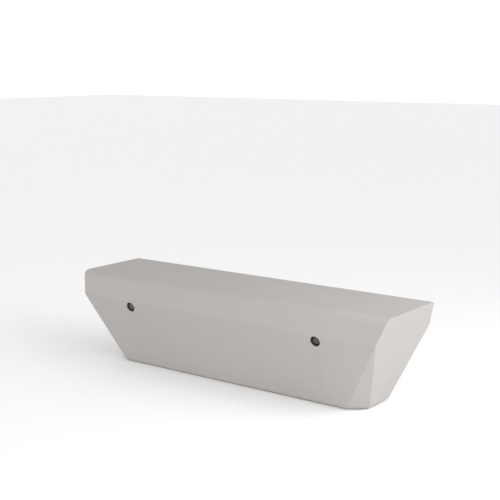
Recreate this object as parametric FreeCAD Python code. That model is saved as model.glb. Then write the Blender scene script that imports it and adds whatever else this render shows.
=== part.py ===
import FreeCAD, Part
import math
import os

# A backless bench: one reinforced cast-stone block with leaning faces, its steel cage, four lifting
# points closed by bolts in round recesses, and two threaded anchor sockets in the base.
# Millimetres. +X runs along the seat, +Y to the back and +Z up. The origin is the middle of the base.

# ---- the block: driving dimensions -------------------------------------------------------------
LENGTH = 1800.0             # along the seat, measured at the top
HEIGHT = 460.0              # seat height
DEPTH = 490.0               # front to back at the widest line, before that edge is rounded
BAND_HEIGHT = 112.0         # from the widest line up to the seat
BAND_LEAN = 38.5            # how far the seat's edge stands in from the widest line
FACE_LEAN = 97.0            # how far the base stands in from the widest line
END_LEAN = 160.0            # how far each end's base stands in from its top
CORNER_FACET_X = 78.0       # corner facet at the base, along the length
CORNER_FACET_Y = 68.0       # corner facet at the base, along the depth
BASE_ARRIS = 12.0           # chamfer round the base
SEAT_EDGE_RADIUS = 45.0     # the seat's long edge at the front
BACK_EDGE_RADIUS = 8.0      # the seat's long edge at the back
WIDEST_EDGE_RADIUS = 20.0   # the two long edges at the widest line

# ---- the steel cage ----------------------------------------------------------------------------
COVER = 40.0                # stone between any cage bar and the nearest face
BOND_CLEARANCE = 0.1        # between a cast-in piece and the stone round it
TIE_GAP = 1.0               # between two cage bars that are tied together
LINK_DIAMETER = 8.0
LINK_BEND_RADIUS = 24.0     # centreline radius of a link's corners
LINK_PITCH = 200.0          # widest spacing between links
SOCKET_TO_LINK = 60.0       # from a lifting point to the links on both sides of it
BAR_DIAMETER = 10.0
TOP_BARS = 3
BOTTOM_BARS = 4             # an even number leaves the middle free for the anchor sockets
HAIRPIN_LEG = 200.0         # how far a hairpin runs back from its end of the bench
HAIRPIN_BEND_RADIUS = 30.0
HAIRPIN_DROP = 80.0         # the upper hairpin below the seat
HAIRPIN_RISE = 120.0        # the lower hairpin above the base

# ---- the lifting points ------------------------------------------------------------------------
SOCKET_FROM_END = 350.0     # from the seat's end to the lifting point
SOCKET_DROP = 33.0          # from the widest line down to the middle of the recess
RECESS_DIAMETER = 50.0
RECESS_DEPTH = 20.0
RING_WALL = 2.5             # recess ring
RING_SETBACK = 1.0          # ring below the stone's face
RING_FLOOR = 2.0
RING_RIM_RADIUS = 0.6
SOCKET_DIAMETER = 30.0
SOCKET_LENGTH = 85.0
THREAD_DIAMETER = 17.3      # M20 thread, drawn plain at its tapping diameter
THREAD_DEPTH = 52.0
THREAD_CLEARANCE = 0.1
CROSS_BAR_DIAMETER = 12.0
CROSS_BAR_LENGTH = 160.0
CROSS_BAR_CLEARANCE = 0.5
CROSS_BAR_FROM_TAIL = 14.0  # cross bar's axis from the blind end of its socket
WASHER_DIAMETER = 37.0
WASHER_HOLE = 21.0
WASHER_THICKNESS = 3.0
WASHER_EDGE_RADIUS = 0.5
HEAD_ACROSS_FLATS = 30.0
HEAD_HEIGHT = 9.0
HEAD_CHAMFER_ANGLE = 30.0
HEAD_FACE_SETBACK = 0.75    # from the head's flats in to the edge of its round face
HEAD_DISH_DIAMETER = 20.0   # shallow dish in the bolt's head
HEAD_DISH_DEPTH = 0.8
BOLT_LENGTH = 40.0          # under the head
BOLT_TIP_CHAMFER = 1.5

# ---- the base anchor sockets -------------------------------------------------------------------
ANCHOR_DIAMETER = 22.0
ANCHOR_LENGTH = 70.0
ANCHOR_THREAD_DIAMETER = 14.0   # M16 thread, drawn plain at its tapping diameter
ANCHOR_THREAD_DEPTH = 50.0
ANCHOR_BAR_DIAMETER = 8.0
ANCHOR_BAR_LENGTH = 90.0
ANCHOR_BAR_FROM_TAIL = 10.0

# ---- worked out --------------------------------------------------------------------------------
WIDEST_Z = HEIGHT - BAND_HEIGHT
BAND_ANGLE = math.atan2(BAND_LEAN, BAND_HEIGHT)
FACE_ANGLE = math.atan2(FACE_LEAN, WIDEST_Z)
END_ANGLE = math.atan2(END_LEAN, HEIGHT)
SOCKET_X = LENGTH / 2 - SOCKET_FROM_END
SOCKET_Z = WIDEST_Z - SOCKET_DROP
SIDES = {"left": -1, "right": 1}
FACES = {"front": -1, "back": 1}

V = FreeCAD.Vector


def half_depth_at(z, inset=0.0):
    """From the middle plane to the front or back face at height z, or to a line inset from the face."""
    on_face = DEPTH / 2 - FACE_LEAN * (WIDEST_Z - z) / WIDEST_Z - inset / math.cos(FACE_ANGLE)
    on_band = DEPTH / 2 - BAND_LEAN * (z - WIDEST_Z) / BAND_HEIGHT - inset / math.cos(BAND_ANGLE)
    return min(on_face, on_band)


def half_length_at(z):
    """From the middle to the end face, at height z."""
    return LENGTH / 2 - END_LEAN * (HEIGHT - z) / HEIGHT


# ---- outlines ----------------------------------------------------------------------------------
def moved_in(start, end, inset):
    """The line from start to end, moved to its left by inset."""
    along = (end - start).normalize()
    left = V(0, -along.z, along.y)
    return start + left * inset, along


def meeting(line, other):
    """The point in the YZ plane where two lines cross."""
    (start, along), (other_start, other_along) = line, other
    cross = along.y * other_along.z - along.z * other_along.y
    gap = other_start - start
    reach = (gap.y * other_along.z - gap.z * other_along.y) / cross
    return start + along * reach


def section_corners(inset=0.0):
    """The six corners of the bench's cross-section, moved in by inset, anticlockwise from above the base."""
    base_half = DEPTH / 2 - FACE_LEAN
    top_half = DEPTH / 2 - BAND_LEAN
    outline = [
        V(0, base_half, 0),
        V(0, DEPTH / 2, WIDEST_Z),
        V(0, top_half, HEIGHT),
        V(0, -top_half, HEIGHT),
        V(0, -DEPTH / 2, WIDEST_Z),
        V(0, -base_half, 0),
    ]
    count = len(outline)
    lines = [moved_in(outline[i], outline[(i + 1) % count], inset) for i in range(count)]
    return [meeting(lines[i - 1], lines[i]) for i in range(count)]


def rounded_wire(corners, radii, closed=True):
    """A wire through the corners, each turned into an arc of its own radius; 0 leaves it sharp."""
    count = len(corners)
    arrives = list(corners)
    leaves = list(corners)
    arcs = {}
    for i, corner in enumerate(corners):
        if radii[i] == 0:
            continue
        back = (corners[i - 1] - corner).normalize()
        onward = (corners[(i + 1) % count] - corner).normalize()
        half_angle = back.getAngle(onward) / 2
        tangent = radii[i] / math.tan(half_angle)
        inward = (back + onward).normalize()
        arc_middle = corner + inward * (radii[i] / math.sin(half_angle) - radii[i])
        arrives[i] = corner + back * tangent
        leaves[i] = corner + onward * tangent
        arcs[i] = Part.Arc(arrives[i], arc_middle, leaves[i]).toShape()
    path = []
    for i in range(count):
        if i in arcs:
            path.append(arcs[i])
        following = (i + 1) % count
        if closed or following != 0:
            path.append(Part.LineSegment(leaves[i], arrives[following]).toShape())
    return Part.Wire(path)


def rod_along(wire, diameter):
    """A round rod bent to the wire."""
    first = wire.Edges[0]
    start = first.valueAt(first.FirstParameter)
    along = first.tangentAt(first.FirstParameter)
    ring = Part.Wire(Part.makeCircle(diameter / 2, start, along))
    return wire.makePipeShell([ring], True, True)


def straight_rod(start, end, diameter):
    """A straight round bar between two points."""
    return Part.makeCylinder(diameter / 2, (end - start).Length, start, end - start)


# ---- the stone block ---------------------------------------------------------------------------
def half_space(point, normal):
    """A large box on the outer side of the plane through point."""
    reach = 2 * (LENGTH + HEIGHT + DEPTH)
    box = Part.makeBox(reach, reach, reach, V(-reach / 2, -reach / 2, 0))
    box.Placement = FreeCAD.Placement(point, FreeCAD.Rotation(V(0, 0, 1), normal))
    return box


def corner_facet(side, face):
    """What the facet takes off one corner: a plane that starts at the widest line and grows to the base."""
    apex = V(side * half_length_at(WIDEST_Z), face * DEPTH / 2, WIDEST_Z)
    base_x = half_length_at(0)
    base_y = DEPTH / 2 - FACE_LEAN
    on_face = V(side * (base_x - CORNER_FACET_X), face * base_y, 0)
    on_end = V(side * base_x, face * (base_y - CORNER_FACET_Y), 0)
    normal = (on_face - apex).cross(on_end - apex)
    if normal.x * side < 0:
        normal = -normal
    return half_space(apex, normal)


def bare_block():
    """The block with its leaning faces, ends, corner facets and rounded long edges."""
    radii = [0, WIDEST_EDGE_RADIUS, BACK_EDGE_RADIUS, SEAT_EDGE_RADIUS, WIDEST_EDGE_RADIUS, 0]
    outline = Part.Face(rounded_wire(section_corners(), radii))
    outline.translate(V(-LENGTH / 2, 0, 0))
    block = outline.extrude(V(LENGTH, 0, 0))
    for side in SIDES.values():
        end_normal = V(side * math.cos(END_ANGLE), 0, -math.sin(END_ANGLE))
        block = block.cut(half_space(V(side * LENGTH / 2, 0, HEIGHT), end_normal))
        for face in FACES.values():
            block = block.cut(corner_facet(side, face))
    return block


def with_base_arris(block):
    """Chamfers every edge of the base."""
    return block.makeChamfer(BASE_ARRIS, [edge for edge in block.Edges if edge.BoundBox.ZMax < 0.01])


# ---- the steel cage ----------------------------------------------------------------------------
def link_positions():
    """Along the bench: evenly between the lifting points, and one outside each of them."""
    inner = SOCKET_X - SOCKET_TO_LINK
    spaces = math.ceil(2 * inner / LINK_PITCH)
    between = [-inner + 2 * inner * i / spaces for i in range(spaces + 1)]
    outer = SOCKET_X + SOCKET_TO_LINK
    return [-outer] + between + [outer]


def cage_links(growth=0.0):
    """Closed links that follow the cross-section."""
    corners = section_corners(COVER + LINK_DIAMETER / 2)
    wire = rounded_wire(corners, [LINK_BEND_RADIUS] * len(corners))
    link = rod_along(wire, LINK_DIAMETER + 2 * growth)
    return [link.translated(V(x, 0, 0)) for x in link_positions()]


def bar_inset():
    """From a face to the axis of a bar tied inside the links."""
    return COVER + LINK_DIAMETER + TIE_GAP + BAR_DIAMETER / 2


def long_bar(y, z, growth):
    """One straight bar along the bench."""
    reach = half_length_at(z) - COVER + growth
    return straight_rod(V(-reach, y, z), V(reach, y, z), BAR_DIAMETER + 2 * growth)


def layer_of_bars(corner, count, growth):
    """Bars side by side from one corner of the links to the other."""
    half_width = corner.y - LINK_BEND_RADIUS
    step = 2 * half_width / (count - 1)
    return [long_bar(-half_width + step * i, corner.z, growth) for i in range(count)]


def top_bars(growth=0.0):
    return layer_of_bars(section_corners(bar_inset())[2], TOP_BARS, growth)


def bottom_bars(growth=0.0):
    """One bar at each side, and the bars between them where they clear the anchor sockets."""
    corner = section_corners(bar_inset())[0]
    nearest = (corner.y - LINK_BEND_RADIUS) / (BOTTOM_BARS - 1)
    clear = nearest > ANCHOR_DIAMETER / 2 + BAR_DIAMETER / 2 + TIE_GAP
    return layer_of_bars(corner, BOTTOM_BARS if clear else 2, growth)


def side_bars(growth=0.0):
    """One bar inside each lower face, half way up it."""
    z = WIDEST_Z / 2
    return [long_bar(face * half_depth_at(z, bar_inset()), z, growth) for face in FACES.values()]


def end_hairpins(side, growth=0.0):
    """Two U-shaped bars, one above the other, inside one end face."""
    pins = []
    for z in (HAIRPIN_RISE, HEIGHT - HAIRPIN_DROP):
        tip = half_length_at(z) - COVER / math.cos(END_ANGLE) - BAR_DIAMETER / 2
        half_width = half_depth_at(z, bar_inset())
        root = tip - HAIRPIN_LEG - growth
        corners = [
            V(side * root, -half_width, z),
            V(side * tip, -half_width, z),
            V(side * tip, half_width, z),
            V(side * root, half_width, z),
        ]
        radii = [0, HAIRPIN_BEND_RADIUS, HAIRPIN_BEND_RADIUS, 0]
        pins.append(rod_along(rounded_wire(corners, radii, closed=False), BAR_DIAMETER + 2 * growth))
    return pins


# ---- the lifting points, drawn with the face at z = 0 and +Z out of the stone -------------------
def tube(outer, inner, low, high):
    """A plain ring between two heights."""
    ring = Part.makeCylinder(outer / 2, high - low, V(0, 0, low))
    if inner > 0:
        ring = ring.cut(Part.makeCylinder(inner / 2, high - low, V(0, 0, low)))
    return ring


SOCKET_TOP = -RECESS_DEPTH
SOCKET_TAIL = SOCKET_TOP - SOCKET_LENGTH
CROSS_BAR_AT = SOCKET_TAIL + CROSS_BAR_FROM_TAIL
WASHER_LOW = SOCKET_TOP + RING_FLOOR
HEAD_LOW = WASHER_LOW + WASHER_THICKNESS


def recess_ring():
    """Dark liner of the recess, with an inward floor round the socket's mouth."""
    outer = RECESS_DIAMETER - 2 * BOND_CLEARANCE
    wall = tube(outer, outer - 2 * RING_WALL, SOCKET_TOP + BOND_CLEARANCE, -RING_SETBACK)
    floor = tube(outer, WASHER_HOLE, SOCKET_TOP + BOND_CLEARANCE, WASHER_LOW)
    ring = wall.fuse(floor).removeSplitter()
    rim = [edge for edge in ring.Edges if edge.BoundBox.ZMin > -RING_SETBACK - 0.01]
    return ring.makeFillet(RING_RIM_RADIUS, rim)


def lifting_socket():
    """Threaded sleeve with a blind tail and a cross hole for its bar."""
    sleeve = tube(SOCKET_DIAMETER, 0, SOCKET_TAIL, SOCKET_TOP)
    thread = tube(THREAD_DIAMETER, 0, SOCKET_TOP - THREAD_DEPTH, SOCKET_TOP)
    reach = V(SOCKET_DIAMETER, 0, 0)
    axis = V(0, 0, CROSS_BAR_AT)
    cross_hole = straight_rod(axis - reach, axis + reach, CROSS_BAR_DIAMETER + 2 * CROSS_BAR_CLEARANCE)
    return sleeve.cut(thread).cut(cross_hole)


def cross_bar(growth=0.0):
    """Bar through the socket's tail that holds it in the stone."""
    reach = V(CROSS_BAR_LENGTH / 2 + growth, 0, 0)
    axis = V(0, 0, CROSS_BAR_AT)
    return straight_rod(axis - reach, axis + reach, CROSS_BAR_DIAMETER + 2 * growth)


def bolt_washer():
    washer = tube(WASHER_DIAMETER, WASHER_HOLE, WASHER_LOW, HEAD_LOW)
    rim = [edge for edge in washer.Edges if edge.BoundBox.ZMin > HEAD_LOW - 0.01]
    return washer.makeFillet(WASHER_EDGE_RADIUS, rim)


def bolt_head():
    """Hexagon with a corner up the face, chamfered to a round face with a shallow dish."""
    top = HEAD_LOW + HEAD_HEIGHT
    corner_radius = HEAD_ACROSS_FLATS / 2 / math.cos(math.pi / 6)
    turns = [math.pi / 6 + math.pi / 3 * i for i in range(7)]
    hexagon = [V(corner_radius * math.cos(t), corner_radius * math.sin(t), HEAD_LOW) for t in turns]
    prism = Part.Face(Part.makePolygon(hexagon)).extrude(V(0, 0, HEAD_HEIGHT))
    face_radius = HEAD_ACROSS_FLATS / 2 - HEAD_FACE_SETBACK
    foot_radius = face_radius + HEAD_HEIGHT / math.tan(math.radians(HEAD_CHAMFER_ANGLE))
    cone = Part.makeCone(foot_radius, face_radius, HEAD_HEIGHT, V(0, 0, HEAD_LOW))
    return prism.common(cone).cut(tube(HEAD_DISH_DIAMETER, 0, top - HEAD_DISH_DEPTH, top))


def closing_bolt():
    """Hexagon-headed bolt that closes the socket."""
    tip_z = HEAD_LOW - BOLT_LENGTH
    shank = tube(THREAD_DIAMETER - 2 * THREAD_CLEARANCE, 0, tip_z, HEAD_LOW)
    tip = [edge for edge in shank.Edges if edge.BoundBox.ZMax < tip_z + 0.01]
    return bolt_head().fuse(shank.makeChamfer(BOLT_TIP_CHAMFER, tip)).removeSplitter()


def lifting_hollow():
    """What the recess, the socket and its cross bar take out of the stone."""
    recess = tube(RECESS_DIAMETER, 0, SOCKET_TOP, RECESS_DIAMETER)
    sleeve = tube(SOCKET_DIAMETER + 2 * BOND_CLEARANCE, 0, SOCKET_TAIL - BOND_CLEARANCE, SOCKET_TOP)
    return recess.fuse(sleeve).fuse(cross_bar(BOND_CLEARANCE))


def at_lifting_point(shape, side, face):
    """Stands a piece of a lifting point square to its face, at its place on the bench."""
    outward = V(0, face * math.cos(FACE_ANGLE), -math.sin(FACE_ANGLE))
    along = V(-face, 0, 0)
    place = V(side * SOCKET_X, face * half_depth_at(SOCKET_Z), SOCKET_Z)
    turned = FreeCAD.Rotation(along, outward.cross(along), outward, "ZXY")
    moved = shape.copy()
    moved.Placement = FreeCAD.Placement(place, turned)
    return moved


# ---- the base anchor sockets -------------------------------------------------------------------
ANCHOR_BAR_AT = ANCHOR_LENGTH - ANCHOR_BAR_FROM_TAIL


def at_anchor(shape, side):
    return shape.translated(V(side * SOCKET_X, 0, 0))


def anchor_bar(growth=0.0):
    reach = V(ANCHOR_BAR_LENGTH / 2 + growth, 0, 0)
    axis = V(0, 0, ANCHOR_BAR_AT)
    return straight_rod(axis - reach, axis + reach, ANCHOR_BAR_DIAMETER + 2 * growth)


def anchor_socket():
    """Threaded sleeve whose mouth is flush with the base."""
    sleeve = tube(ANCHOR_DIAMETER, 0, 0, ANCHOR_LENGTH)
    thread = tube(ANCHOR_THREAD_DIAMETER, 0, 0, ANCHOR_THREAD_DEPTH)
    return sleeve.cut(thread).cut(anchor_bar(CROSS_BAR_CLEARANCE))


def anchor_hollow():
    sleeve = tube(ANCHOR_DIAMETER + 2 * BOND_CLEARANCE, 0, 0, ANCHOR_LENGTH + BOND_CLEARANCE)
    return sleeve.fuse(anchor_bar(BOND_CLEARANCE))


# ---- the whole bench ---------------------------------------------------------------------------
def bench_body():
    """The stone, with room for everything that is cast into it."""
    hollows = cage_links(BOND_CLEARANCE)
    hollows += top_bars(BOND_CLEARANCE) + bottom_bars(BOND_CLEARANCE) + side_bars(BOND_CLEARANCE)
    for side in SIDES.values():
        hollows += end_hairpins(side, BOND_CLEARANCE)
        hollows.append(at_anchor(anchor_hollow(), side))
        for face in FACES.values():
            hollows.append(at_lifting_point(lifting_hollow(), side, face))
    return with_base_arris(bare_block()).cut(hollows)


def all_pieces():
    """Every node's name and its solids."""
    pieces = {
        "bench_body": [bench_body()],
        "cage_links": cage_links(),
        "cage_top_bars": top_bars(),
        "cage_bottom_bars": bottom_bars(),
        "cage_side_bars": side_bars(),
    }
    for side_name, side in SIDES.items():
        pieces[f"{side_name}_end_hairpins"] = end_hairpins(side)
        pieces[f"{side_name}_anchor_socket"] = [at_anchor(anchor_socket(), side)]
        pieces[f"{side_name}_anchor_bar"] = [at_anchor(anchor_bar(), side)]
        for face_name, face in FACES.items():
            corner = f"{face_name}_{side_name}"
            pieces[f"{corner}_lifting_socket"] = [at_lifting_point(lifting_socket(), side, face)]
            pieces[f"{corner}_cross_bar"] = [at_lifting_point(cross_bar(), side, face)]
            pieces[f"{corner}_recess_ring"] = [at_lifting_point(recess_ring(), side, face)]
            pieces[f"{corner}_washer"] = [at_lifting_point(bolt_washer(), side, face)]
            pieces[f"{corner}_closing_bolt"] = [at_lifting_point(closing_bolt(), side, face)]
    return pieces


os.makedirs("parts", exist_ok=True)
for name, solids in all_pieces().items():
    shape = solids[0] if len(solids) == 1 else Part.makeCompound(solids)
    shape.exportStep(f"parts/{name}.step")
    state = "valid" if shape.isValid() else "NOT VALID"
    print(name, len(shape.Solids), state, round(shape.Volume / 1000, 1), "cm3")
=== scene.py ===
import math
import random

import bmesh
import bpy
from mathutils import Matrix, Vector


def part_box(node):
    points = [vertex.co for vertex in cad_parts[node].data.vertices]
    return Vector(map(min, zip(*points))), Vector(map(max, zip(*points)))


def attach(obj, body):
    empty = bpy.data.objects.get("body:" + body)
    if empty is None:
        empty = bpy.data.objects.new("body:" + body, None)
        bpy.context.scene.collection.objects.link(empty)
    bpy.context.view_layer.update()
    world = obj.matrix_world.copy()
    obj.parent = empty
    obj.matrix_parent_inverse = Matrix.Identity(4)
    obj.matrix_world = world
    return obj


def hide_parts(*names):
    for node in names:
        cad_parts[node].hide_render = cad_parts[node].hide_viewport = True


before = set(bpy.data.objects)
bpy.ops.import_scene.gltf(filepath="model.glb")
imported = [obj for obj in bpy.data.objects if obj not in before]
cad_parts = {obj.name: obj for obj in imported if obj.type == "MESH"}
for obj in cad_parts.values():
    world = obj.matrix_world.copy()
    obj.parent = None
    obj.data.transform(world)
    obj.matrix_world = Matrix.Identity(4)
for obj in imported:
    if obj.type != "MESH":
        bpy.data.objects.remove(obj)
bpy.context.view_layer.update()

# The looks of a backless cast-stone bench, in metres. The stone is built again with rounded arrises,
# air holes and lipped recesses. The metal and plastic pieces keep their shapes from the frame.

# ---- the stone's own sizes, as in the frame ------------------------------------------------------
BAND_HEIGHT = 0.112
BAND_LEAN = 0.0385
FACE_LEAN = 0.097
WIDEST_DEPTH = 0.490        # before the widest edge is rounded
END_LEAN = 0.160
FACET_X = 0.078
FACET_Y = 0.068
BASE_ARRIS = 0.012
SEAT_EDGE_RADIUS = 0.045    # at the front
BACK_EDGE_RADIUS = 0.008
WIDEST_EDGE_RADIUS = 0.020
RECESS_DEPTH = 0.020
ARC_STEP = math.radians(6)  # turn between two points of a rounded edge

# ---- what only the looks have --------------------------------------------------------------------
END_EDGE_WIDTH = 0.004      # rounded arris round the end faces
END_EDGE_SEGMENTS = 4
BASE_EDGE_WIDTH = 0.0018    # rounding of the base chamfer's own edges
BASE_EDGE_SEGMENTS = 3
LIP_WIDTH = 0.0012          # rounded lip of each recess
POCKET_GAP = 0.0001         # between a hole in the stone and the piece in it
CUTTER_OVERSHOOT = 0.01     # a cutter's reach below the base
RECESS_SEGMENTS = 64
ANCHOR_SEGMENTS = 40
AIR_HOLES = 150
AIR_HOLE_RADII = (0.0006, 0.0019)
AIR_HOLE_SPACING = 0.006    # from one another and from an edge
AIR_HOLE_FROM_RECESS = 0.035
SEED = 7

# ---- what tells flat faces from rounded ones -----------------------------------------------------
SHARP_ANGLE = math.radians(12)
SMOOTH_ANGLE = math.radians(35)
FLAT_BREADTH = 0.008        # a face at least this broad is a flat one, not a strip of a rounded edge
FLAT_TOLERANCE = 0.00002
LARGE_FACE = 0.002          # smallest area, in square metres, that air holes are put on
END_TOLERANCE = 0.0001
CUT_TOLERANCE = 0.0000001
WELD_DISTANCE = 0.0002      # for the edges' joints; a tenth of it for points on one another

# ---- colours, linear -----------------------------------------------------------------------------
STONE_COLOUR = (0.405, 0.386, 0.372)
STONE_DARK = (0.388, 0.369, 0.354)
STONE_LIGHT = (0.420, 0.401, 0.387)
STONE_BLOTCH = (0.412, 0.392, 0.380)
STONE_COOL = (0.396, 0.386, 0.376)
STONE_SAND = (0.370, 0.350, 0.330)
STONE_SPECK = (0.270, 0.255, 0.240)
STONE_DAMP = (0.330, 0.315, 0.300)
# The liner's near-black is partly its own colour and partly painted shade for the gap round each bolt.
LINER_BLACK_AND_PAINTED_SHADE = (0.055, 0.053, 0.050)
LINER_DUST = (0.16, 0.155, 0.15)
ZINC = ((0.30, 0.30, 0.31), (0.46, 0.46, 0.46))             # dark and light of each coating
# Washer and bolt steel are darkened to near black as painted shade for their place deep in the recesses.
WASHER_STEEL_PAINTED_SHADE = ((0.055, 0.053, 0.05), (0.105, 0.102, 0.096))
BOLT_STEEL_PAINTED_SHADE = ((0.065, 0.063, 0.06), (0.135, 0.131, 0.124))
REBAR_COLOUR = (0.16, 0.10, 0.075)
MILL_SCALE = (0.10, 0.085, 0.08)
RUST = (0.23, 0.10, 0.05)
FLOOR_COLOUR = (0.96, 0.96, 0.96)

# ---- light ---------------------------------------------------------------------------------------
SKY_BASE = 0.375
SKY_SIDES = [((1, 0, 0), 1.66), ((-1, 0, 0), 0.86), ((0, -1, 0), 1.14), ((0, 1, 0), 0.66)]
SOFTBOXES = [               # name, place, size and power
    ("key on the right", (3.0, -0.5, 1.9), 1.6, 23.0),
    ("low fill in front", (0.5, -3.5, 1.2), 1.8, 4.0),
    ("above the right end", (2.0, 0.3, 1.5), 0.8, 9.0),
]
SOFTBOX_TARGET = (0, 0, 0.2)
FLOOR_SIZE = 60

# ---- camera, from a fit of the block's corners and edges -----------------------------------------
LENS = 76.78                # mm, like the sensor's width
SENSOR_WIDTH = 36.0
AZIMUTH = math.radians(36.79)
PITCH = math.radians(10.18)
ROLL = math.radians(-0.02)
CAMERA_PLACE = (3.0358, -4.0349, 1.5369)

low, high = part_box("bench_body")
HALF_LENGTH = high.x
HEIGHT = high.z
WIDEST_Z = HEIGHT - BAND_HEIGHT
HALF_DEPTH = WIDEST_DEPTH / 2
BASE_HALF_DEPTH = HALF_DEPTH - FACE_LEAN
SEAT_HALF_DEPTH = HALF_DEPTH - BAND_LEAN
BASE_HALF_LENGTH = HALF_LENGTH - END_LEAN
FACE_ANGLE = math.atan2(FACE_LEAN, WIDEST_Z)
SIDES = {"left": -1, "right": 1}
FACES = {"front": -1, "back": 1}


# ---- camera --------------------------------------------------------------------------------------
def add_camera():
    """Seen from the front and a little right, from about head height and with a long lens."""
    data = bpy.data.cameras.new("camera")
    data.lens = LENS
    data.sensor_width = SENSOR_WIDTH
    data.clip_start = 0.05
    data.clip_end = 200.0
    camera = bpy.data.objects.new("camera", data)
    turn = Matrix.Rotation(AZIMUTH, 4, "Z") @ Matrix.Rotation(math.pi / 2 - PITCH, 4, "X")
    camera.rotation_euler = (turn @ Matrix.Rotation(ROLL, 4, "Z")).to_euler()
    camera.location = CAMERA_PLACE
    bpy.context.scene.collection.objects.link(camera)
    bpy.context.scene.camera = camera


# ---- the stone -----------------------------------------------------------------------------------
def arc_points(before, corner, after, radius):
    """Points of the rounded corner between two straight stretches of an outline."""
    back = (before - corner).normalized()
    onward = (after - corner).normalized()
    half_angle = back.angle(onward) / 2
    start = corner + back * (radius / math.tan(half_angle))
    centre = corner + (back + onward).normalized() * (radius / math.sin(half_angle))
    turn = math.pi - 2 * half_angle
    steps = max(2, math.ceil(turn / ARC_STEP))
    spoke = start - centre
    direction = 1 if back.cross(onward) < 0 else -1
    points = []
    for i in range(steps + 1):
        spin = Matrix.Rotation(direction * turn * i / steps, 2)
        points.append(centre + spin @ spoke)
    return points


def section_outline():
    """The cross-section as (y, z) points, anticlockwise seen from +X, with its long edges rounded."""
    corners = [
        (Vector((BASE_HALF_DEPTH, 0)), 0),
        (Vector((HALF_DEPTH, WIDEST_Z)), WIDEST_EDGE_RADIUS),
        (Vector((SEAT_HALF_DEPTH, HEIGHT)), BACK_EDGE_RADIUS),
        (Vector((-SEAT_HALF_DEPTH, HEIGHT)), SEAT_EDGE_RADIUS),
        (Vector((-HALF_DEPTH, WIDEST_Z)), WIDEST_EDGE_RADIUS),
        (Vector((-BASE_HALF_DEPTH, 0)), 0),
    ]
    outline = []
    for i, (corner, radius) in enumerate(corners):
        before = corners[i - 1][0]
        after = corners[(i + 1) % len(corners)][0]
        outline += arc_points(before, corner, after, radius) if radius else [corner]
    return outline


def cut_off(bm, point, normal):
    """Takes off all that lies outside the plane, and closes the cut with one face."""
    geometry = list(bm.verts) + list(bm.edges) + list(bm.faces)
    cut = bmesh.ops.bisect_plane(bm, geom=geometry, dist=CUT_TOLERANCE, plane_co=point, plane_no=normal,
                                 clear_outer=True)
    rim = [g for g in cut["geom_cut"] if isinstance(g, bmesh.types.BMEdge)]
    bmesh.ops.edgeloop_fill(bm, edges=rim)


def facet_plane(side, face):
    """A corner facet's plane: it starts at the widest line and grows to the base."""
    lean_at_widest = END_LEAN * BAND_HEIGHT / HEIGHT
    apex = Vector((side * (HALF_LENGTH - lean_at_widest), face * HALF_DEPTH, WIDEST_Z))
    on_face = Vector((side * (BASE_HALF_LENGTH - FACET_X), face * BASE_HALF_DEPTH, 0))
    on_end = Vector((side * BASE_HALF_LENGTH, face * (BASE_HALF_DEPTH - FACET_Y), 0))
    normal = (on_face - apex).cross(on_end - apex).normalized()
    return apex, normal if normal.x * side > 0 else -normal


def block_mesh():
    """The plain block: the section drawn along X, cut at the ends and corners, with its base chamfered."""
    bm = bmesh.new()
    outline = section_outline()
    rings = [[bm.verts.new((side * HALF_LENGTH, y, z)) for y, z in outline] for side in SIDES.values()]
    count = len(outline)
    for i in range(count):
        j = (i + 1) % count
        bm.faces.new((rings[0][i], rings[0][j], rings[1][j], rings[1][i]))
    for ring in rings:
        bm.faces.new(ring)
    bmesh.ops.recalc_face_normals(bm, faces=bm.faces)
    for side in SIDES.values():
        cut_off(bm, Vector((side * HALF_LENGTH, 0, HEIGHT)), Vector((side * HEIGHT, 0, -END_LEAN)))
    round_edges(bm, [e for e in bm.edges if on_end_face(e)], END_EDGE_WIDTH, END_EDGE_SEGMENTS)
    for side in SIDES.values():
        for face in FACES.values():
            cut_off(bm, *facet_plane(side, face))
    bmesh.ops.remove_doubles(bm, verts=bm.verts, dist=WELD_DISTANCE)
    bmesh.ops.recalc_face_normals(bm, faces=bm.faces)
    round_edges(bm, [e for e in bm.edges if highest(e) < WELD_DISTANCE], BASE_ARRIS, 1)
    low_edges = [e for e in bm.edges if highest(e) < 2 * BASE_ARRIS and e.calc_face_angle(0) > SHARP_ANGLE]
    round_edges(bm, low_edges, BASE_EDGE_WIDTH, BASE_EDGE_SEGMENTS)
    return bm


def highest(edge):
    """Height of the edge's upper point."""
    return max(v.co.z for v in edge.verts)


def on_end_face(edge):
    """True for an edge round an end face, other than its base edge."""
    on_plane = [abs(abs(v.co.x) - HALF_LENGTH + END_LEAN * (HEIGHT - v.co.z) / HEIGHT) < END_TOLERANCE
                for v in edge.verts]
    one_end = edge.verts[0].co.x * edge.verts[1].co.x > 0
    return one_end and all(on_plane) and highest(edge) > WELD_DISTANCE


def round_edges(bm, edges, width, segments):
    """Bevels the edges: one segment makes a chamfer, more make a rounding."""
    bmesh.ops.bevel(bm, geom=edges, offset=width, offset_type="OFFSET", segments=segments, profile=0.5,
                    affect="EDGES", clamp_overlap=False)


def new_object(name, mesh):
    """An object in the scene that shows the mesh."""
    made = bpy.data.objects.new(name, mesh)
    bpy.context.scene.collection.objects.link(made)
    return made


def apply_modifiers(piece):
    """Swaps the piece's mesh for what its modifiers make of it."""
    evaluated = piece.evaluated_get(bpy.context.evaluated_depsgraph_get())
    mesh = bpy.data.meshes.new_from_object(evaluated)
    piece.modifiers.clear()
    piece.data = mesh


def weld(mesh, distance):
    """Joins points that lie on one another, and drops the faces and edges that vanish so."""
    bm = bmesh.new()
    bm.from_mesh(mesh)
    bmesh.ops.remove_doubles(bm, verts=bm.verts, dist=distance)
    bmesh.ops.dissolve_degenerate(bm, edges=bm.edges, dist=distance)
    bm.to_mesh(mesh)
    bm.free()


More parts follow.
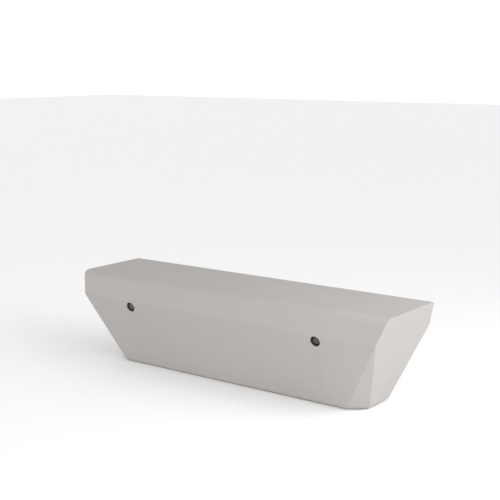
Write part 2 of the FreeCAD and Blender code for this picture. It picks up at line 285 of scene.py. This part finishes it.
# ---- what is cut into the stone ------------------------------------------------------------------
def lathe(bm, profile, place, axis, segments):
    """A closed solid turned about axis from (radius, height) points that start and end on the axis."""
    turn = axis.to_track_quat("Z", "Y").to_matrix()
    rings = []
    for radius, height in profile:
        if radius == 0:
            rings.append([bm.verts.new(place + turn @ Vector((0, 0, height)))])
            continue
        ring = []
        for i in range(segments):
            angle = 2 * math.pi * i / segments
            spoke = Vector((radius * math.cos(angle), radius * math.sin(angle), height))
            ring.append(bm.verts.new(place + turn @ spoke))
        rings.append(ring)
    for ring, following in zip(rings, rings[1:]):
        for i in range(segments):
            j = (i + 1) % segments
            if len(ring) == 1:
                bm.faces.new((ring[0], following[i], following[j]))
            elif len(following) == 1:
                bm.faces.new((ring[i], following[0], ring[j]))
            else:
                bm.faces.new((ring[i], following[i], following[j], ring[j]))


def lifting_axis(face):
    """Outward direction of a recess: square to the leaning lower face."""
    return Vector((0, face * math.cos(FACE_ANGLE), -math.sin(FACE_ANGLE)))


def lifting_place(side_name, face_name):
    """Middle of a recess on the stone's face, from where its ring lies in the frame."""
    ring_low, ring_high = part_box(f"{face_name}_{side_name}_recess_ring")
    middle = (ring_low + ring_high) / 2
    face = FACES[face_name]
    axis = lifting_axis(face)
    on_face = Vector((middle.x, face * HALF_DEPTH, WIDEST_Z))
    return middle + axis * (on_face - middle).dot(axis)


def recess_cutters(bm):
    """The four recesses, each with a rounded lip."""
    ring_low, ring_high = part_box("front_left_recess_ring")
    radius = (ring_high.x - ring_low.x) / 2 + POCKET_GAP
    lip = [(radius, -LIP_WIDTH), (radius + LIP_WIDTH * 0.3, -LIP_WIDTH * 0.3),
           (radius + LIP_WIDTH * 1.3, LIP_WIDTH * 0.13)]
    profile = [(0, -RECESS_DEPTH), (radius, -RECESS_DEPTH), *lip, (0, LIP_WIDTH * 0.5)]
    for side_name in SIDES:
        for face_name, face in FACES.items():
            lathe(bm, profile, lifting_place(side_name, face_name), lifting_axis(face), RECESS_SEGMENTS)


def anchor_cutters(bm):
    """The holes in the base round the anchor sockets."""
    for side_name in SIDES:
        socket_low, socket_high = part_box(f"{side_name}_anchor_socket")
        radius = (socket_high.x - socket_low.x) / 2 + POCKET_GAP
        place = (socket_low + socket_high) / 2
        place.z = 0
        bottom, top = -CUTTER_OVERSHOOT, socket_high.z
        profile = [(0, bottom), (radius, bottom), (radius, top), (0, top)]
        lathe(bm, profile, place, Vector((0, 0, 1)), ANCHOR_SEGMENTS)


def add_pit(bm, place, normal, radius, depth, draw):
    """A small rounded hollow, a little out of round."""
    stretch = draw.uniform(0.8, 1.25)
    upright = normal.to_track_quat("Z", "Y").to_matrix().to_4x4()
    turn = upright @ Matrix.Rotation(draw.uniform(0, math.tau), 4, "Z")
    shape = Matrix.Translation(place) @ turn @ Matrix.Diagonal((radius * stretch, radius / stretch, depth, 1))
    bmesh.ops.create_icosphere(bm, subdivisions=2, radius=1.0, matrix=shape)


def spots_on(mesh, draw, count, spacing):
    """Random places on the large faces, by area, kept apart and away from edges and recesses."""
    faces = [f for f in mesh.polygons if f.area > LARGE_FACE]
    total = sum(f.area for f in faces)
    recesses = [lifting_place(s, f) for s in SIDES for f in FACES]
    found = []
    while len(found) < count:
        pick = draw.uniform(0, total)
        for face in faces:
            pick -= face.area
            if pick <= 0:
                break
        corners = [mesh.vertices[v].co for v in face.vertices]
        a, b = draw.random(), draw.random()
        if a + b > 1:
            a, b = 1 - a, 1 - b
        fan = draw.randrange(1, len(corners) - 1)
        place = corners[0] + (corners[fan] - corners[0]) * a + (corners[fan + 1] - corners[0]) * b
        edges = [(corners[i - 1], corners[i]) for i in range(len(corners))]
        near_edge = any(edge_distance(place, *edge) < spacing for edge in edges)
        near_recess = any((place - r).length < AIR_HOLE_FROM_RECESS for r in recesses)
        near_other = any((place - other).length < spacing for other, _ in found)
        faces_down = face.normal.z < -0.9
        if faces_down or near_edge or near_recess or near_other:
            continue
        found.append((place, face.normal.copy()))
    return found


def edge_distance(point, start, end):
    """Distance from the point to the straight edge."""
    along = end - start
    share = max(0.0, min(1.0, (point - start).dot(along) / along.length_squared))
    return (point - start - along * share).length


def air_hole_cutters(bm, mesh, draw):
    """Air holes as a casting has them: most are pinheads."""
    for place, normal in spots_on(mesh, draw, AIR_HOLES, AIR_HOLE_SPACING):
        size = draw.random() ** 2.5
        radius = AIR_HOLE_RADII[0] + size * (AIR_HOLE_RADII[1] - AIR_HOLE_RADII[0])
        add_pit(bm, place, normal, radius, radius * draw.uniform(0.5, 0.9), draw)


def as_mesh(name, bm):
    """The bmesh as a mesh. The bmesh is freed."""
    mesh = bpy.data.meshes.new(name)
    bm.to_mesh(mesh)
    bm.free()
    return mesh


def cut_hollows(stone, draw):
    """Cuts the recesses, the anchor holes and the air holes out of the stone."""
    bm = bmesh.new()
    recess_cutters(bm)
    anchor_cutters(bm)
    air_hole_cutters(bm, stone.data, draw)
    bmesh.ops.recalc_face_normals(bm, faces=bm.faces)
    cutters = new_object("cutters", as_mesh("cutters", bm))
    boolean = stone.modifiers.new("hollows", "BOOLEAN")
    boolean.operation = "DIFFERENCE"
    boolean.solver = "EXACT"
    boolean.object = cutters
    apply_modifiers(stone)
    bpy.data.objects.remove(cutters)


def build_stone():
    """The block with its hollows cut and its shading set."""
    stone = new_object("cast_stone", as_mesh("stone", block_mesh()))
    weld(stone.data, WELD_DISTANCE / 10)
    planes = flat_planes(stone.data)
    cut_hollows(stone, random.Random(SEED))
    smooth_shading(stone, planes)
    return stone


def flat_planes(mesh):
    """The planes of the large flat faces, as (normal, distance from the origin)."""
    planes = []
    for face in mesh.polygons:
        corners = [mesh.vertices[v].co for v in face.vertices]
        longest = max((a - b).length for a in corners for b in corners)
        if face.area / longest > FLAT_BREADTH:
            planes.append((face.normal.copy(), face.normal.dot(face.center)))
    return planes


def smooth_shading(piece, planes):
    """Smooth shading for rounded edges and hollows, and a true flat look for every large face."""
    bm = bmesh.new()
    bm.from_mesh(piece.data)
    bmesh.ops.triangulate(bm, faces=[f for f in bm.faces if len(f.verts) > 4])
    bmesh.ops.dissolve_degenerate(bm, edges=bm.edges, dist=WELD_DISTANCE / 10)
    bmesh.ops.triangulate(bm, faces=[f for f in bm.faces if len(f.verts) > 4])
    for face in bm.faces:
        face.smooth = True
    for edge in bm.edges:
        edge.smooth = edge.calc_face_angle(0) < SMOOTH_ANGLE
    bm.to_mesh(piece.data)
    bm.free()

    mesh = piece.data
    normals = [corner.vector.copy() for corner in mesh.corner_normals]
    on_plane = [plane_under(mesh, face, planes) for face in mesh.polygons]
    beside = {}
    for face, normal in zip(mesh.polygons, on_plane):
        for vertex in face.vertices if normal else ():
            beside.setdefault(vertex, []).append(normal)
    for face, own in zip(mesh.polygons, on_plane):
        for loop in face.loop_indices:
            near = [own] if own else beside.get(mesh.loops[loop].vertex_index, [])
            for normal in near:
                if own or face.normal.dot(normal) > math.cos(SMOOTH_ANGLE):
                    normals[loop] = normal
    mesh.normals_split_custom_set(normals)


def plane_under(mesh, face, planes):
    """Normal of the large flat face that this face is a piece of, or None."""
    for normal, distance in planes:
        if all(abs(mesh.vertices[v].co.dot(normal) - distance) < FLAT_TOLERANCE for v in face.vertices):
            return normal
    return None


# ---- materials -----------------------------------------------------------------------------------
class Surface:
    """A material with a short way to add nodes and to join them up."""

    def __init__(self, name, colour, roughness, metallic=0.0):
        self.material = bpy.data.materials.new(name)
        self.material.use_nodes = True
        self.tree = self.material.node_tree
        self.shader = self.tree.nodes["Principled BSDF"]
        self.shader.inputs["Base Color"].default_value = (*colour, 1)
        self.shader.inputs["Roughness"].default_value = roughness
        self.shader.inputs["Metallic"].default_value = metallic
        self.place = self.node("ShaderNodeTexCoord").outputs["Object"]

    def node(self, kind, inputs=None, **settings):
        made = self.tree.nodes.new(kind)
        for key, value in settings.items():
            setattr(made, key, value)
        for key, value in (inputs or {}).items():
            if isinstance(value, bpy.types.NodeSocket):
                self.tree.links.new(value, made.inputs[key])
            else:
                made.inputs[key].default_value = value
        return made

    def link(self, source, name):
        self.tree.links.new(source, self.shader.inputs[name])

    def stretched(self, scale, offset=(0, 0, 0)):
        """Object coordinates with another scale along each axis."""
        inputs = {"Vector": self.place, "Scale": scale, "Location": offset}
        return self.node("ShaderNodeMapping", inputs).outputs[0]

    def noise(self, scale, detail=2.0, roughness=0.5, place=None, distortion=0.0):
        inputs = {"Vector": place or self.place, "Scale": scale, "Detail": detail, "Roughness": roughness,
                  "Distortion": distortion}
        return self.node("ShaderNodeTexNoise", inputs).outputs["Fac"]

    def math(self, operation, first, second=0.0):
        return self.node("ShaderNodeMath", {0: first, 1: second}, operation=operation).outputs[0]

    def spread(self, value, low, high, to_low=0.0, to_high=1.0):
        """Maps low..high to another range, with soft ends and nothing outside it."""
        return self.node("ShaderNodeMapRange", {"Value": value, "From Min": low, "From Max": high,
                                                "To Min": to_low, "To Max": to_high},
                         interpolation_type="SMOOTHSTEP").outputs["Result"]

    def blend(self, share, first, second):
        """Mixes two colours: share 0 gives the first, 1 the second."""
        made = self.node("ShaderNodeMix", data_type="RGBA")
        for index, value in ((0, share), (6, first), (7, second)):
            if isinstance(value, bpy.types.NodeSocket):
                self.tree.links.new(value, made.inputs[index])
            else:
                made.inputs[index].default_value = (*value, 1) if index else value
        return made.outputs[2]

    def bump(self, height, distance, strength=1.0, below=None):
        inputs = {"Height": height, "Distance": distance, "Strength": strength}
        if below:
            inputs["Normal"] = below
        return self.node("ShaderNodeBump", inputs).outputs[0]


def stone_surface():
    """Smooth grey cast stone: soft clouds, fine sand, faint runs and a damp mark under each recess."""
    s = Surface("cast stone", STONE_COLOUR, 0.8)
    clouds = s.noise(1.3, 3.0, 0.55)
    blotches = s.noise(7.0, 6.0, 0.62, distortion=0.4)
    warmth = s.noise(3.1, 2.0, 0.5, s.stretched((1, 1, 1), (5.0, 2.0, 1.0)))
    runs = s.noise(16.0, 3.0, 0.5, s.stretched((1, 1, 0.07)))
    sand = s.noise(520.0, 2.0, 0.6)
    specks = s.node("ShaderNodeTexVoronoi", {"Vector": s.place, "Scale": 46.0, "Randomness": 1.0}).outputs

    colour = s.blend(s.spread(clouds, 0.3, 0.7), STONE_DARK, STONE_LIGHT)
    colour = s.blend(s.spread(blotches, 0.32, 0.68, 0.0, 0.5), colour, STONE_BLOTCH)
    colour = s.blend(s.spread(warmth, 0.35, 0.65, 0.0, 0.35), colour, STONE_COOL)
    colour = s.blend(s.spread(runs, 0.50, 0.72, 0.0, 0.20), colour, STONE_DARK)
    colour = s.blend(s.spread(sand, 0.35, 0.65, 0.0, 0.16), colour, STONE_SAND)
    chance = s.node("ShaderNodeSeparateColor", {"Color": specks["Color"]}).outputs[0]
    speck = s.math("MULTIPLY", s.spread(specks["Distance"], 0.10, 0.05), s.spread(chance, 0.80, 0.84))
    colour = s.blend(s.math("MULTIPLY", speck, 0.45), colour, STONE_SPECK)
    colour = s.blend(damp_mark(s), colour, STONE_DAMP)
    s.link(colour, "Base Color")
    s.link(s.spread(blotches, 0.25, 0.75, 0.72, 0.88), "Roughness")

    skin = s.bump(s.noise(24.0, 3.0, 0.5), 0.0012, 0.35)
    skin = s.bump(sand, 0.0004, 0.35, skin)
    s.link(skin, "Normal")
    return s.material


def damp_mark(s):
    """Share of the dark run under each lifting point, on both long faces."""
    x, y, z = s.node("ShaderNodeSeparateXYZ", {"Vector": s.place}).outputs
    middle = lifting_place("right", "front")
    across = s.math("ABSOLUTE", s.math("SUBTRACT", s.math("ABSOLUTE", x), middle.x))
    waver = s.noise(22.0, 3.0, 0.6, s.stretched((1, 1, 0.25)))
    width = s.math("MULTIPLY", waver, 0.030)
    band = s.spread(s.math("SUBTRACT", across, width), 0.010, -0.014)
    below = s.spread(z, middle.z - 0.02, middle.z - 0.05)
    fading = s.spread(z, 0.0, middle.z, 0.35, 1.0)
    return s.math("MULTIPLY", s.math("MULTIPLY", band, below), s.math("MULTIPLY", fading, 0.20))


def steel_surface(name, dark, light, roughness, metallic):
    """Dull metal: cloudy coating, fine grain and uneven gloss."""
    s = Surface(name, light, roughness, metallic)
    clouds = s.noise(140.0, 4.0, 0.6)
    fine = s.noise(900.0, 3.0, 0.6)
    colour = s.blend(s.spread(clouds, 0.35, 0.65), dark, light)
    colour = s.blend(s.spread(fine, 0.45, 0.70, 0.0, 0.4), colour, dark)
    s.link(colour, "Base Color")
    s.link(s.spread(clouds, 0.3, 0.7, roughness - 0.08, roughness + 0.08), "Roughness")
    s.link(s.bump(fine, 0.0001, 0.4), "Normal")
    return s.material


def rebar_surface():
    """Ribbed-bar steel as it comes off the truck: mill scale with a bloom of rust."""
    s = Surface("rebar steel", REBAR_COLOUR, 0.8, 0.3)
    rust = s.noise(60.0, 5.0, 0.65)
    ribs = s.node("ShaderNodeTexWave", {"Vector": s.place, "Scale": 60.0, "Distortion": 0.6},
                  wave_type="BANDS", bands_direction="DIAGONAL").outputs["Fac"]
    s.link(s.blend(s.spread(rust, 0.4, 0.6), MILL_SCALE, RUST), "Base Color")
    s.link(s.spread(rust, 0.3, 0.7, 0.6, 0.9), "Roughness")
    s.link(s.bump(ribs, 0.0006, 0.6, s.bump(rust, 0.0003, 0.5)), "Normal")
    return s.material


def liner_and_painted_shade_surface():
    """Dark moulded plastic, dusty with cement. Its near-black is partly painted shade: it darkens the gap
    round each bolt as a shadow would.
    """
    s = Surface("dark liner plastic and painted shade", LINER_BLACK_AND_PAINTED_SHADE, 0.55)
    dust = s.noise(220.0, 5.0, 0.7)
    s.link(s.blend(s.spread(dust, 0.50, 0.75, 0.0, 0.5), LINER_BLACK_AND_PAINTED_SHADE, LINER_DUST), "Base Color")
    s.link(s.spread(dust, 0.4, 0.7, 0.45, 0.75), "Roughness")
    s.link(s.bump(dust, 0.0001, 0.3), "Normal")
    return s.material


def dress(material, *endings):
    """Gives the material to every frame node whose name ends so."""
    for name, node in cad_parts.items():
        if name.endswith(endings):
            node.data.materials.clear()
            node.data.materials.append(material)


# ---- stage ---------------------------------------------------------------------------------------
def add_sky():
    """A studio sky: an even base, and more from each side by the square of how far it faces there."""
    world = bpy.data.worlds.new("studio")
    world.use_nodes = True
    tree = world.node_tree
    place = tree.nodes.new("ShaderNodeTexCoord").outputs["Generated"]
    total = None
    for direction, strength in SKY_SIDES:
        facing = tree.nodes.new("ShaderNodeVectorMath")
        facing.operation = "DOT_PRODUCT"
        facing.inputs[1].default_value = direction
        tree.links.new(place, facing.inputs[0])
        positive = tree.nodes.new("ShaderNodeMath")
        positive.operation = "MAXIMUM"
        positive.inputs[1].default_value = 0.0
        tree.links.new(facing.outputs["Value"], positive.inputs[0])
        squared = tree.nodes.new("ShaderNodeMath")
        squared.operation = "POWER"
        squared.inputs[1].default_value = 2.0
        tree.links.new(positive.outputs[0], squared.inputs[0])
        summed = tree.nodes.new("ShaderNodeMath")
        summed.operation = "MULTIPLY_ADD"
        summed.inputs[1].default_value = strength
        summed.inputs[2].default_value = SKY_BASE
        tree.links.new(squared.outputs[0], summed.inputs[0])
        if total:
            tree.links.new(total, summed.inputs[2])
        total = summed.outputs[0]
    tree.links.new(total, tree.nodes["Background"].inputs["Color"])
    bpy.context.scene.world = world


def add_softbox(name, place, size, power):
    """A square area light, turned to the bench and not seen itself."""
    data = bpy.data.lights.new(name, "AREA")
    data.energy = power
    data.size = size
    light = bpy.data.objects.new(name, data)
    light.location = place
    light.rotation_euler = (Vector(SOFTBOX_TARGET) - Vector(place)).to_track_quat("-Z", "Y").to_euler()
    light.visible_camera = False
    bpy.context.scene.collection.objects.link(light)


def add_stage():
    """The pale floor, the sky and the lights."""
    bpy.ops.mesh.primitive_plane_add(size=FLOOR_SIZE, location=(0, 0, 0))
    floor = bpy.context.object
    floor.name = "floor"
    floor.data.materials.append(Surface("pale floor", FLOOR_COLOUR, 0.9).material)
    add_sky()
    for name, place, size, power in SOFTBOXES:
        add_softbox(name, place, size, power)
    bpy.context.scene.view_settings.view_transform = "Standard"


add_camera()
stone = build_stone()
stone.data.materials.append(stone_surface())
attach(stone, "root")
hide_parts("bench_body")
dress(rebar_surface(), "_links", "_bars", "_hairpins", "_cross_bar", "_anchor_bar")
dress(steel_surface("galvanised steel", *ZINC, 0.42, 0.9), "_lifting_socket", "_anchor_socket")
# Washers and closing bolts: steel darkened as painted shade of the recesses they sit in.
dress(steel_surface("washer steel darkened as painted shade", *WASHER_STEEL_PAINTED_SHADE, 0.6, 0.4), "_washer")
dress(steel_surface("bolt steel darkened as painted shade", *BOLT_STEEL_PAINTED_SHADE, 0.55, 0.5), "_closing_bolt")
# The recess rings: near-black liner that is partly painted shade for the gap round each bolt.
dress(liner_and_painted_shade_surface(), "_recess_ring")
add_stage()
